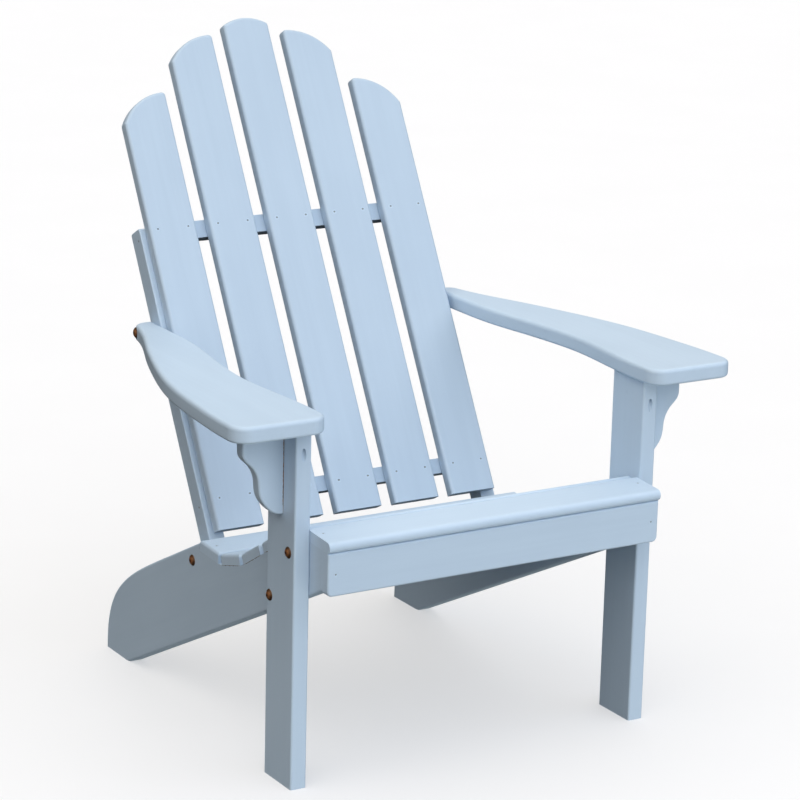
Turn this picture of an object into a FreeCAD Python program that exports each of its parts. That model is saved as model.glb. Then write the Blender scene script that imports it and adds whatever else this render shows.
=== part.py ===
"""Adirondack chair of painted timber, modelled piece by piece and written as one STEP file per piece.

The chair is drawn on a bench frame in millimetres: X across the seat (the sitter faces -Y), Y from the front
legs towards the back, Z up from the ground, with Y = 0 on the front faces of the front legs and X = 0 on the
plane of symmetry. Every piece is moved once, on saving, so that the origin lies under the middle of the chair.
"""
import FreeCAD, Part

import math
import os

Vector = FreeCAD.Vector
ORIGIN = Vector(0, 0, 0)
ACROSS = Vector(1, 0, 0)
UP = Vector(0, 0, 1)

# ---- driving dimensions: overall ------------------------------------------------------------------------
LEG_SPREAD = 600.0  # across the outer faces of the two front legs
ARM_TOP = 549.0  # height of the top of the arms
BACK_TILT = 29.4  # lean of the back from upright, degrees
BOARD_EDGE = 4.0  # rounding of the ordinary board edges

# ---- front legs, side rails and apron --------------------------------------------------------------------
LEG_THICK = 25.0
LEG_WIDTH = 78.0
LEG_EDGE = 3.0
RAIL_THICK = 25.0
RAIL_WIDTH = 130.0  # square to the sloping lower edge
RAIL_FRONT = -32.0  # front ends of the side rails
RAIL_TOE = 564.0  # where the sloping lower edge meets the ground
RAIL_HEEL = 643.0  # rear end of the ground foot
RAIL_FRONT_BOTTOM = 300.0  # height of the lower edge at the front end
RAIL_HEEL_RUN = 226.0  # how far ahead of the heel the upper edge begins to bend down
RAIL_HEEL_RISE = 8.0  # height at which the bend ends in the upright heel
RAIL_HEEL_PULLS = (168.0, 104.0)  # how long the bend follows the upper edge and the heel
RAIL_SEAT_CLEAR = 1.5  # from the rear seat slat to the step behind it
APRON_THICK = 18.0
APRON_BOTTOM = 296.0
APRON_CORNER = 8.0
APRON_EDGE = 3.0
APRON_REAR_EDGE = 2.5

# ---- seat: slats laid along a dipping curve, front to rear ---------------------------------------------
SEAT_FRONT = -53.0  # front edge of the front slat
SEAT_FRONT_Z = 358.2  # underside of the front slat at that edge
SEAT_THICK = 16.0
SEAT_FRONT_WIDTH = 66.0
SEAT_SLAT_WIDTH = 58.0
SEAT_FALLS = (-3.5, 20.6, 30.6, 30.6, 16.0, -3.0)  # fall of each slat towards the rear, degrees
SEAT_FRONT_GAP = 4.0
SEAT_GAP = 12.0
SEAT_NOSE = 7.5  # rounding of the front slat's front edge
SEAT_EDGE = 5.0
SEAT_SCREW_SHARE = 0.5  # places of the seat screws across the slats
SEAT_FRONT_SCREW_SHARE = 0.62

# ---- back: arched slats on two cross rails between two uprights -----------------------------------------
BACK_FOOT_GAP = 4.7  # from the rear seat slat back to the slats' front faces at their bottom ends
BACK_FOOT_LIFT = 8.9  # height of those ends over the rear seat slat
SLAT_COUNT = 5
SLAT_WIDTH = 78.0
SLAT_MARGIN = 8.0  # from the inner faces of the side rails to the outermost slats
SLAT_THICK = 19.5
SLAT_FRONT_EDGE = 5.0
SLAT_BACK_EDGE = 4.0
CROWN = 793.0  # length of the middle slat, from its foot to the top of the arch
CROWN_DROP = 11.0  # fall of the middle slat's top at its sides
NEXT_SLAT = (769.0, 39.5)  # inner height and fall to the outer side of the slats beside it
OUTER_SLAT = (682.0, 46.0)  # the same for the outermost slats
SLAT_TOP_BEND = (0.18, 0.27)  # where the slanting tops bulge: share of the half width, share of the fall
SLAT_CORNER = 6.0
UPRIGHT_WIDTH = 25.0
UPRIGHT_DEPTH = 31.5
UPRIGHT_FOOT = -62.0  # lower end, measured along the slats from their bottom ends
UPRIGHT_TOP = 476.0
UPRIGHT_CORNER = 5.0
UPPER_RAIL = (452.1, 479.1)  # lower and upper edge along the slats
LOWER_RAIL = (38.4, 61.9)
CROSS_RAIL_THICK = 21.0

# ---- arms and their brackets ------------------------------------------------------------------------------
ARM_THICK = 24.0
ARM_EDGE = 6.0
ARM_LOWER_EDGE = 4.2
ARM_FRONT = -37.0
ARM_PAST_BOLT = 14.8  # arm behind its bolt
ARM_CORNER_OUT = 27.0
ARM_CORNER_IN = 26.0
ARM_TAIL_CORNER = 20.0
ARM_CLEAR = 0.2  # between the arm tail and the upright
ARM_STRAIGHT = 79.0  # straight length of the inner edge along the upright, from the rear end
# the outer edge from rear to front: X from the leg's outer face, and share of the arm's length from its front
ARM_OUTER = (
    (-19.0, 1.0),
    (-4.0, 0.898),
    (25.0, 0.771),
    (55.0, 0.628),
    (80.0, 0.488),
    (94.0, 0.373),
    (103.0, 0.247),
    (109.0, 0.134),
    (110.0, 0.0),
)
# the inner edge, with X from the side rail's inner face
ARM_INNER = (
    (3.0, 0.733),
    (14.0, 0.606),
    (24.0, 0.481),
    (27.5, 0.385),
    (23.0, 0.255),
    (17.5, 0.142),
    (17.0, 0.0),
)
BRACKET_THICK = 19.0
BRACKET_FRONT = 33.0
BRACKET_TOP_WIDTH = 64.0
BRACKET_HEIGHT = 129.5
# the bracket's S-shaped edge: share of its top width, share of its height below the arm
BRACKET_PROFILE = ((1.0, 0.26), (0.80, 0.42), (0.62, 0.58), (0.57, 0.76), (0.34, 0.93), (0.0, 1.0))
BRACKET_EDGE = 3.0

# ---- fasteners ---------------------------------------------------------------------------------------------
BOLT_DIA = 6.0
BOLT_HOLE = 6.4
BOLT_HEAD = 17.0
BOLT_DOME = 4.2
BOLT_DOME_SHOULDER = (0.72, 0.285)  # a point of the dome's arc: share of its height, share of its diameter
BOLT_SOCKET = 4.0  # across flats
BOLT_SOCKET_DEPTH = 2.2
BOLT_TAIL = 2.5  # thread standing past the nut
WASHER_DIA = 16.0
WASHER_THICK = 1.4
NUT_FLATS = 10.0
NUT_THICK = 5.0
LEG_BOLT_UPPER = (17.0, 17.4)  # behind the leg's front face, and below the front seat slat
LEG_BOLT_LOWER = (9.0, 18.8)  # ahead of the leg's rear face, and above the side rail's lower edge
BACK_BOLT = (-31.5, 0.638)  # place on the upright: along it, and as a share of its depth
ARM_BOLT_DEPTH = 0.619  # share of the upright's depth
ARM_BOLT_SEAT = 33.0  # from the side rail's inner face out to the flat that the arm bolt's head bears on
ARM_BOLT_ROUND = 0.5  # clearance round the head in that flat
CUT_PAST = 20.0  # how far the cutting tools reach past the wood
SCREW_DIA = 4.0
SCREW_HOLE = 4.2
SCREW_HEAD = 7.6
SCREW_HEAD_LENGTH = 2.6
SCREW_SINK = 0.7  # how far the heads lie below the paint
SCREW_POINT = 0.4  # radius of the tip
SLAT_SCREW_SPREAD = 25.4  # screws either side of a slat's middle line
SLAT_SCREW_RISE = (9.6, 14.4)  # rows of screws above the lower edges of the lower and upper cross rails
SLAT_SCREW_LENGTH = 33.0
SEAT_SCREW_LENGTH = 36.0
APRON_SCREW_LENGTH = 45.0
FRAME_SCREW_LENGTH = 55.0
FRAME_SCREW_DROP = 7.0  # below the middle of the cross rails, clear of the slat screws
BRACKET_SCREW_LENGTH = 50.0
BRACKET_SCREWS = (71.0, 27.0)  # below the arm
POCKET_DIA = 7.4
POCKET_LEAN = 22.0  # lean of the pocket hole from upright, degrees
POCKET_DROP = 38.0  # from the arm down to the pocket's mouth on the leg's front face
POCKET_SHELF = 17.0  # wood left between the pocket's floor and the leg's top, along the hole
POCKET_SCREW_LENGTH = 32.0
POCKET_SCREW_CLEAR = 0.4  # round the screw's head

RAIL_OUT = LEG_SPREAD / 2 - LEG_THICK
RAIL_IN = RAIL_OUT - RAIL_THICK
RAIL_MIDDLE = (RAIL_OUT + RAIL_IN) / 2
LEG_TOP = ARM_TOP - ARM_THICK
UPRIGHT_IN = RAIL_IN - UPRIGHT_WIDTH
TILT = math.radians(BACK_TILT)
RAIL_SLOPE = RAIL_FRONT_BOTTOM / (RAIL_TOE - RAIL_FRONT)
RAIL_LEAN = math.atan(RAIL_SLOPE)
SLAT_PITCH = (RAIL_IN - SLAT_MARGIN - SLAT_WIDTH / 2) * 2 / (SLAT_COUNT - 1)


# ---- small helpers ---------------------------------------------------------------------------------------
def sign_of(side):
    """-1 for the left side (-X) and 1 for the right."""
    return -1 if side == "left" else 1


def for_side(shape, side):
    """A shape drawn for the right side (+X), mirrored when the left one is wanted."""
    return shape.mirror(ORIGIN, ACROSS) if side == "left" else shape


def face_of(points):
    """A flat face bounded by straight lines through the points."""
    return Part.Face(Part.makePolygon(list(points) + [points[0]]))


def slab_x(outline, x0, x1):
    """An outline in the YZ plane, given as (y, z) pairs, extruded from x0 to x1."""
    return face_of([Vector(x0, y, z) for y, z in outline]).extrude(Vector(x1 - x0, 0, 0))


def box(x, y, z):
    """A box from three (low, high) pairs."""
    return Part.makeBox(x[1] - x[0], y[1] - y[0], z[1] - z[0], Vector(x[0], y[0], z[0]))


def middle(edge):
    """The point halfway along an edge."""
    return edge.valueAt((edge.FirstParameter + edge.LastParameter) / 2)


def rounded(shape, radius, wanted):
    """The shape with the edges that the test picks rounded to a radius."""
    return shape.makeFillet(radius, [edge for edge in shape.Edges if wanted(edge)])


def runs_along(edge, axis):
    """Whether a straight edge runs along an axis."""
    if edge.Curve.TypeId != "Part::GeomLine":
        return False
    return abs(edge.tangentAt(edge.FirstParameter).dot(axis)) > 0.999


def stands_at(edge, corner):
    """Whether an edge is the upright one at a corner of a plan."""
    point = middle(edge)
    return runs_along(edge, UP) and math.dist((point.x, point.y), (corner.x, corner.y)) < 0.5


def laid(shape, fall, point):
    """A shape drawn level, turned about X to fall towards the rear by an angle, and set at a point."""
    turned = shape.copy()
    turned.rotate(ORIGIN, ACROSS, -fall)
    turned.translate(point)
    return turned


def on_back(shape):
    """A shape drawn with X across, Y through and Z along the slats, set on the leaning back."""
    return laid(shape, BACK_TILT, back_foot())


def back_foot():
    """The middle of the back's bottom edge, on the slats' front faces, just behind the rear seat slat."""
    _, (y, z), fall = seat_places()[-1]
    angle = math.radians(fall)
    rear = (y + SEAT_THICK * math.sin(angle), z + SEAT_THICK * math.cos(angle))
    return Vector(0, rear[0] + BACK_FOOT_GAP, rear[1] + BACK_FOOT_LIFT)


def back_point(x, along, depth):
    """A place on the leaning back, in the bench frame."""
    foot = back_foot()
    y = foot.y + along * math.sin(TILT) + depth * math.cos(TILT)
    z = foot.z + along * math.cos(TILT) - depth * math.sin(TILT)
    return Vector(x, y, z)


# ---- seat curve ------------------------------------------------------------------------------------------
def seat_places():
    """Underside of each seat slat, front to rear, as (front point, rear point, fall)."""
    places = []
    y, z = SEAT_FRONT, SEAT_FRONT_Z
    for index, fall in enumerate(SEAT_FALLS):
        width = SEAT_FRONT_WIDTH if index == 0 else SEAT_SLAT_WIDTH
        angle = math.radians(fall)
        rear = (y + width * math.cos(angle), z - width * math.sin(angle))
        places.append(((y, z), rear, fall))
        if index + 1 < len(SEAT_FALLS):
            between = math.radians((fall + SEAT_FALLS[index + 1]) / 2)
            gap = SEAT_FRONT_GAP if index == 0 else SEAT_GAP
            y = rear[0] + gap * math.cos(between)
            z = rear[1] - gap * math.sin(between)
    return places


def seat_line(y):
    """Height of the front slat's underside at a place along Y."""
    return SEAT_FRONT_Z - (y - SEAT_FRONT) * math.tan(math.radians(SEAT_FALLS[0]))


# ---- fasteners: solids and the holes that take them ------------------------------------------------------
def screw(point, direction, length):
    """A countersunk screw whose head lies just under the surface at a point, driven in a direction."""
    start = point + direction * SCREW_SINK
    head = Part.makeCone(SCREW_HEAD / 2, SCREW_DIA / 2, SCREW_HEAD_LENGTH, start, direction)
    shank = Part.makeCylinder(SCREW_DIA / 2, length - SCREW_DIA, start, direction)
    tip_start = start + direction * (length - SCREW_DIA)
    tip = Part.makeCone(SCREW_DIA / 2, SCREW_POINT, SCREW_DIA, tip_start, direction)
    return head.fuse([shank, tip]).removeSplitter()


def screw_hole(point, direction, length):
    """The hole for such a screw: a sunk mouth, a countersink and a shank hole."""
    slack = (SCREW_HOLE - SCREW_DIA) / 2
    outside = point - direction * SCREW_SINK
    mouth = Part.makeCylinder(SCREW_HEAD / 2 + slack, SCREW_SINK * 2, outside, direction)
    start = point + direction * SCREW_SINK
    sink = Part.makeCone(SCREW_HEAD / 2 + slack, SCREW_HOLE / 2, SCREW_HEAD_LENGTH + slack, start, direction)
    shank = Part.makeCylinder(SCREW_HOLE / 2, length + 1, start, direction)
    return mouth.fuse([sink, shank])


class Screws:
    """A set of equal screws with their holes."""

    def __init__(self, length):
        self.length = length
        self.solids = []
        self.holes = []

    def add(self, point, direction):
        self.solids.append(screw(point, direction, self.length))
        self.holes.append(screw_hole(point, direction, self.length))


class Bolts:
    """Domed bolts along X with their washers, nuts and holes, drawn for the right side and mirrored."""

    def __init__(self):
        self.heads = []
        self.washers = []
        self.nuts = []
        self.holes = []

    def add(self, y, z, seat, inside, side):
        """A bolt whose head bears on x = seat and whose washer bears on x = inside."""
        inward = Vector(-1, 0, 0)
        rise, width = BOLT_DOME_SHOULDER
        arc = Part.Arc(
            Vector(seat, BOLT_HEAD / 2, 0),
            Vector(seat + BOLT_DOME * rise, BOLT_HEAD * width, 0),
            Vector(seat + BOLT_DOME, 0, 0),
        ).toShape()
        axis = Part.LineSegment(Vector(seat + BOLT_DOME, 0, 0), Vector(seat, 0, 0)).toShape()
        under = Part.LineSegment(Vector(seat, 0, 0), Vector(seat, BOLT_HEAD / 2, 0)).toShape()
        dome = Part.Face(Part.Wire([arc, axis, under])).revolve(ORIGIN, ACROSS, 360)
        dome.translate(Vector(0, y, z))
        reach = seat - inside + WASHER_THICK + NUT_THICK + BOLT_TAIL
        shank = Part.makeCylinder(BOLT_DIA / 2, reach, Vector(seat, y, z), inward)
        top = Vector(seat + BOLT_DOME + CUT_PAST, y, z)
        socket = hexagon(BOLT_SOCKET, top, BOLT_SOCKET_DEPTH + CUT_PAST)
        self.heads.append(for_side(dome.fuse(shank).cut(socket).removeSplitter(), side))
        washer = Part.makeCylinder(WASHER_DIA / 2, WASHER_THICK, Vector(inside, y, z), inward)
        nut = hexagon(NUT_FLATS, Vector(inside - WASHER_THICK, y, z), NUT_THICK)
        start = Vector(seat + CUT_PAST, y, z)
        bore = Part.makeCylinder(BOLT_HOLE / 2, reach + 2 * CUT_PAST, start, inward)
        self.washers.append(for_side(washer.cut(bore), side))
        self.nuts.append(for_side(nut.cut(bore), side))
        self.holes.append(for_side(bore, side))


def hexagon(flats, point, length):
    """A hexagonal bar from a point towards -X."""
    radius = flats / math.sqrt(3)
    corners = []
    for step in range(6):
        angle = math.radians(60 * step)
        corners.append(point + Vector(0, radius * math.cos(angle), radius * math.sin(angle)))
    return face_of(corners).extrude(Vector(-length, 0, 0))


# ---- pieces: legs, rails and apron -------------------------------------------------------------------------
def front_leg(side):
    """An upright board on the outer face of its side rail."""
    leg = box((RAIL_OUT, RAIL_OUT + LEG_THICK), (0, LEG_WIDTH), (0, LEG_TOP))
    leg = rounded(leg, LEG_EDGE, lambda edge: runs_along(edge, UP))
    return for_side(leg, side)


def rail_upper_line(y):
    """Height of the straight upper edge of the side rails, behind the seat, at a place along Y."""
    return RAIL_FRONT_BOTTOM + RAIL_WIDTH / math.cos(RAIL_LEAN) - RAIL_SLOPE * (y - RAIL_FRONT)


def rail_lower_line(y):
    """Height of the straight lower edge of the side rails at a place along Y."""
    return RAIL_FRONT_BOTTOM - RAIL_SLOPE * (y - RAIL_FRONT)


def rail_top():
    """The side rail's upper edge from its front end, as (y, z) corners: seat facets, then the straight part."""
    places = seat_places()
    corners = [(RAIL_FRONT, seat_line(RAIL_FRONT)), places[0][1]]
    for front, rear, _ in places[1:]:
        corners += [front, rear]
    step = corners[-1][0] + RAIL_SEAT_CLEAR
    bend_start = RAIL_HEEL - RAIL_HEEL_RUN
    corners += [(y, rail_upper_line(y)) for y in (step, bend_start)]
    return corners


def side_rail(side):
    """The long board from the apron down to the ground behind, which carries the seat and the back."""
    top = [Vector(RAIL_IN, y, z) for y, z in rail_top()]
    along_edge = Vector(0, math.cos(RAIL_LEAN), -math.sin(RAIL_LEAN))
    first_pull, last_pull = RAIL_HEEL_PULLS
    heel_top = Vector(RAIL_IN, RAIL_HEEL, RAIL_HEEL_RISE)
    bend = Part.BezierCurve()
    bend.setPoles([top[-1], top[-1] + along_edge * first_pull, heel_top + UP * last_pull, heel_top])
    foot = [heel_top, Vector(RAIL_IN, RAIL_HEEL, 0), Vector(RAIL_IN, RAIL_TOE, 0)]
    foot += [Vector(RAIL_IN, RAIL_FRONT, RAIL_FRONT_BOTTOM), top[0]]
    edges = [Part.LineSegment(a, b).toShape() for a, b in zip(top, top[1:])]
    edges.append(bend.toShape())
    edges += [Part.LineSegment(a, b).toShape() for a, b in zip(foot, foot[1:])]
    rail = Part.Face(Part.Wire(edges)).extrude(Vector(RAIL_THICK, 0, 0))
    open_top = top[-2].y

    def free_edge(edge):
        """Whether an edge is the open upper edge, the heel or the lower edge, on either face."""
        point = middle(edge)
        on_face = min(abs(point.x - RAIL_IN), abs(point.x - RAIL_OUT)) < 0.01
        behind = point.y > open_top and point.z > 1
        under = abs(point.z - rail_lower_line(point.y)) < 1 and not runs_along(edge, UP)
        return on_face and (behind or under)

    return for_side(rounded(rail, BOARD_EDGE, free_edge), side)


def apron():
    """The board across the front ends of the side rails, under the front slat."""
    front = RAIL_FRONT - APRON_THICK
    outline = [
        (front, APRON_BOTTOM),
        (RAIL_FRONT, APRON_BOTTOM),
        (RAIL_FRONT, seat_line(RAIL_FRONT)),
        (front, seat_line(front)),
    ]
    board = slab_x(outline, -RAIL_OUT, RAIL_OUT)
    board = rounded(
        board,
        APRON_CORNER,
        lambda edge: abs(abs(middle(edge).x) - RAIL_OUT) < 0.01 and abs(middle(edge).z - APRON_BOTTOM) < 0.01,
    )
    board = rounded(board, APRON_EDGE, lambda edge: abs(middle(edge).y - front) < 0.01)

    def rear_top(edge):
        """Whether an edge is the upper one on the rear face."""
        point = middle(edge)
        return runs_along(edge, ACROSS) and point.y > RAIL_FRONT - 0.01 and point.z > APRON_BOTTOM + 1

    return rounded(board, APRON_REAR_EDGE, rear_top)


def leg_bolt_places():
    """Where the two bolts cross each leg and side rail, as (y, z)."""
    upper_y, below_seat = LEG_BOLT_UPPER
    lower_y = LEG_WIDTH - LEG_BOLT_LOWER[0]
    return (upper_y, seat_line(upper_y) - below_seat), (lower_y, rail_lower_line(lower_y) + LEG_BOLT_LOWER[1])


# ---- pieces: seat ----------------------------------------------------------------------------------------------
def seat_slat(index):
    """One board of the seat, resting on the two side rails."""
    (y, z), _, fall = seat_places()[index]
    width = SEAT_FRONT_WIDTH if index == 0 else SEAT_SLAT_WIDTH
    board = box((-RAIL_OUT, RAIL_OUT), (0, width), (0, SEAT_THICK))
    if index == 0:
        board = rounded(board, SEAT_NOSE, lambda edge: runs_along(edge, ACROSS) and middle(edge).y < 1)
        board = rounded(board, SEAT_EDGE, lambda edge: middle(edge).y > width - 1 and middle(edge).z > 1)
    else:
        board = rounded(board, SEAT_EDGE, lambda edge: middle(edge).z > SEAT_THICK - 1)
    return laid(board, fall, Vector(0, y, z))


def seat_screws():
    """One screw through each end of each seat slat into the side rail."""
    screws = Screws(SEAT_SCREW_LENGTH)
    for (y, z), rear, fall in seat_places():
        angle = math.radians(fall)
        normal = Vector(0, math.sin(angle), math.cos(angle))
        share = SEAT_SCREW_SHARE if y > RAIL_FRONT else SEAT_FRONT_SCREW_SHARE
        place = Vector(0, y + (rear[0] - y) * share, z + (rear[1] - z) * share) + normal * SEAT_THICK
        for side in (-1, 1):
            screws.add(place + Vector(side * RAIL_MIDDLE, 0, 0), normal * -1)
    return screws


# ---- pieces: back ----------------------------------------------------------------------------------------------
def slat_middles():
    """Middle lines of the back slats, left to right."""
    return [(number - (SLAT_COUNT - 1) / 2) * SLAT_PITCH for number in range(SLAT_COUNT)]


def slat_top(rank):
    """Top of a slat as (x, height) from its inner side to its outer side, by its rank from the middle."""
    half = SLAT_WIDTH / 2
    if rank == 0:
        return (-half, CROWN - CROWN_DROP), (0, CROWN), (half, CROWN - CROWN_DROP)
    inner, fall = NEXT_SLAT if rank == 1 else OUTER_SLAT
    across, down = SLAT_TOP_BEND
    return (-half, inner), (half * across, inner - fall * down), (half, inner - fall)


def back_slat(index):
    """One board of the back with its share of the arched top."""
    rank = abs(index - (SLAT_COUNT - 1) // 2)
    left, mid, right = [Vector(x, 0, z) for x, z in slat_top(rank)]
    foot_left = Vector(-SLAT_WIDTH / 2, 0, 0)
    foot_right = Vector(SLAT_WIDTH / 2, 0, 0)
    edges = [
        Part.LineSegment(foot_left, left).toShape(),
        Part.Arc(left, mid, right).toShape(),
        Part.LineSegment(right, foot_right).toShape(),
        Part.LineSegment(foot_right, foot_left).toShape(),
    ]
    board = Part.Face(Part.Wire(edges)).extrude(Vector(0, SLAT_THICK, 0))
    through = Vector(0, 1, 0)
    board = rounded(board, SLAT_CORNER, lambda edge: runs_along(edge, through) and middle(edge).z > SLAT_WIDTH)
    board = rounded(board, SLAT_FRONT_EDGE, lambda edge: middle(edge).y < 0.01 and middle(edge).z > 1)
    board = rounded(board, SLAT_BACK_EDGE, lambda edge: middle(edge).y > SLAT_THICK - 0.01 and middle(edge).z > 1)
    place = slat_middles()[index]
    if place < 0:
        board = board.mirror(ORIGIN, ACROSS)
    board.translate(Vector(place, 0, 0))
    return on_back(board)


def back_upright(side):
    """The stile behind the outer slats, bolted to the side rail and to the arm."""
    post = box((UPRIGHT_IN, RAIL_IN), (SLAT_THICK, SLAT_THICK + UPRIGHT_DEPTH), (UPRIGHT_FOOT, UPRIGHT_TOP))
    post = rounded(post, UPRIGHT_CORNER, lambda edge: runs_along(edge, ACROSS))
    post = rounded(post, BOARD_EDGE / 2, lambda edge: abs(middle(edge).x - RAIL_IN) < 0.01)
    return for_side(on_back(post), side)


def cross_rail(span):
    """A board across the back of the slats, between the uprights."""
    rail = box((-UPRIGHT_IN, UPRIGHT_IN), (SLAT_THICK, SLAT_THICK + CROSS_RAIL_THICK), span)
    rail = rounded(rail, BOARD_EDGE / 2, lambda edge: runs_along(edge, ACROSS) and middle(edge).y > SLAT_THICK + 1)
    return on_back(rail)


def back_normal():
    """Direction through the back, from its front face to its rear."""
    return Vector(0, math.cos(TILT), -math.sin(TILT))


def slat_screws(row):
    """Two screws through each slat into the cross rail or the upright behind it."""
    screws = Screws(SLAT_SCREW_LENGTH)
    for place in slat_middles():
        for offset in (-SLAT_SCREW_SPREAD, SLAT_SCREW_SPREAD):
            screws.add(back_point(place + offset, row, 0), back_normal())
    return screws


def frame_screws():
    """Screws through the uprights into the ends of the cross rails."""
    screws = Screws(FRAME_SCREW_LENGTH)
    depth = SLAT_THICK + CROSS_RAIL_THICK / 2
    for low, high in (LOWER_RAIL, UPPER_RAIL):
        for side in (-1, 1):
            place = back_point(side * RAIL_IN, (low + high) / 2 - FRAME_SCREW_DROP, depth)
            screws.add(place, Vector(-side, 0, 0))
    return screws


# ---- pieces: arms and brackets -----------------------------------------------------------------------------
def arm(side):
    """A level board with an S-curved plan: a broad round-cornered front and a narrow tail at the upright."""
    bolt_y, bolt_z = arm_bolt_place()
    rear = bolt_y + ARM_PAST_BOLT
    length = rear - ARM_FRONT
    inner_x = RAIL_IN + ARM_CLEAR
    outer = [Vector(LEG_SPREAD / 2 + x, ARM_FRONT + share * length, LEG_TOP) for x, share in ARM_OUTER]
    inner = [Vector(inner_x, rear - ARM_STRAIGHT, LEG_TOP)]
    inner += [Vector(RAIL_IN + x, ARM_FRONT + share * length, LEG_TOP) for x, share in ARM_INNER]
    tail = Vector(inner_x, rear, LEG_TOP)
    outer_curve = Part.BSplineCurve()
    outer_curve.interpolate(outer)
    inner_curve = Part.BSplineCurve()
    inner_curve.interpolate(inner, InitialTangent=Vector(0, -1, 0), FinalTangent=Vector(0, -1, 0))
    edges = [
        Part.LineSegment(tail, outer[0]).toShape(),
        outer_curve.toShape(),
        Part.LineSegment(outer[-1], inner[-1]).toShape(),
        inner_curve.toShape(),
        Part.LineSegment(inner[0], tail).toShape(),
    ]
    board = Part.Face(Part.Wire(Part.__sortEdges__(edges))).extrude(UP * ARM_THICK)
    corners = ((outer[-1], ARM_CORNER_OUT), (inner[-1], ARM_CORNER_IN), (outer[0], ARM_TAIL_CORNER))
    for corner, radius in corners:
        board = rounded(board, radius, lambda edge: stands_at(edge, corner))
    board = rounded(board, ARM_EDGE, lambda edge: abs(middle(edge).z - ARM_TOP) < 0.01)
    board = rounded(board, ARM_LOWER_EDGE, lambda edge: abs(middle(edge).z - LEG_TOP) < 0.01)
    flat = Vector(RAIL_IN + ARM_BOLT_SEAT, bolt_y, bolt_z)
    seat_cut = Part.makeCylinder(BOLT_HEAD / 2 + ARM_BOLT_ROUND, ARM_BOLT_SEAT + CUT_PAST, flat, ACROSS)
    return for_side(board.cut(seat_cut), side)


def arm_bolt_place():
    """Where the arm's bolt crosses the middle of the arm and the upright, as (y, z)."""
    z = (ARM_TOP + LEG_TOP) / 2
    depth = SLAT_THICK + UPRIGHT_DEPTH * ARM_BOLT_DEPTH
    along = (z - back_foot().z + depth * math.sin(TILT)) / math.cos(TILT)
    place = back_point(0, along, depth)
    return place.y, place.z


def arm_bracket(side):
    """An S-profiled board under the arm, standing out from the leg's outer face."""
    leg_face = LEG_SPREAD / 2
    top = LEG_TOP
    points = [Vector(leg_face + BRACKET_TOP_WIDTH, BRACKET_FRONT, top)]
    for across, down in BRACKET_PROFILE:
        x = leg_face + across * BRACKET_TOP_WIDTH
        points.append(Vector(x, BRACKET_FRONT, top - down * BRACKET_HEIGHT))
    inner_top = Vector(leg_face, BRACKET_FRONT, top)
    curve = Part.BSplineCurve()
    curve.interpolate(points[1:], InitialTangent=Vector(0, 0, -1), FinalTangent=Vector(-1, 0, 0))
    edges = [
        Part.LineSegment(inner_top, points[0]).toShape(),
        Part.LineSegment(points[0], points[1]).toShape(),
        curve.toShape(),
        Part.LineSegment(points[-1], inner_top).toShape(),
    ]
    board = Part.Face(Part.Wire(edges)).extrude(Vector(0, BRACKET_THICK, 0))

    def on_curve(edge):
        """Whether an edge bounds the free end or the S-shaped edge."""
        point = middle(edge)
        on_face = min(abs(point.y - BRACKET_FRONT), abs(point.y - BRACKET_FRONT - BRACKET_THICK)) < 0.01
        return on_face and point.x > leg_face + 1 and point.z < top - 1

    return for_side(rounded(board, BRACKET_EDGE, on_curve), side)


def bracket_screws():
    """Screws through the leg into the bracket's edge."""
    screws = Screws(BRACKET_SCREW_LENGTH)
    y = BRACKET_FRONT + BRACKET_THICK / 2
    for side in (-1, 1):
        for drop in BRACKET_SCREWS:
            screws.add(Vector(side * RAIL_OUT, y, LEG_TOP - drop), Vector(side, 0, 0))
    return screws


class Pocket:
    """The leaning pocket hole in a leg's front face, with the screw that pulls the arm down on the leg."""

    def __init__(self, side):
        lean = math.radians(POCKET_LEAN)
        self.direction = Vector(0, math.sin(lean), math.cos(lean))
        self.mouth = Vector(sign_of(side) * (RAIL_OUT + LEG_THICK / 2), 0, LEG_TOP - POCKET_DROP)
        climb = POCKET_DROP / math.cos(lean)
        self.floor = self.mouth + self.direction * (climb - POCKET_SHELF)

    def cutter(self):
        """The wide part, open at the leg's front face, and the shank hole above it."""
        reach = (self.floor - self.mouth).Length
        start = self.mouth - self.direction * CUT_PAST
        wide = Part.makeCylinder(POCKET_DIA / 2, reach + CUT_PAST, start, self.direction)
        narrow = Part.makeCylinder(SCREW_HOLE / 2, POCKET_SCREW_LENGTH + 1, self.floor, self.direction)
        return wide.fuse(narrow)

    def screw(self):
        """A pan-headed screw whose head bears on the pocket's floor."""
        radius = POCKET_DIA / 2 - POCKET_SCREW_CLEAR
        head = Part.makeCylinder(radius, SCREW_HEAD_LENGTH, self.floor, self.direction * -1)
        shank = Part.makeCylinder(SCREW_DIA / 2, POCKET_SCREW_LENGTH, self.floor, self.direction)
        return head.fuse(shank).removeSplitter()


# ---- assembly ------------------------------------------------------------------------------------------------
def bored(shape, *hole_sets):
    """The shape with the holes of the given sets that reach it."""
    near = [hole for holes in hole_sets for hole in holes if shape.BoundBox.intersect(hole.BoundBox)]
    return shape.cut(near) if near else shape


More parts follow.
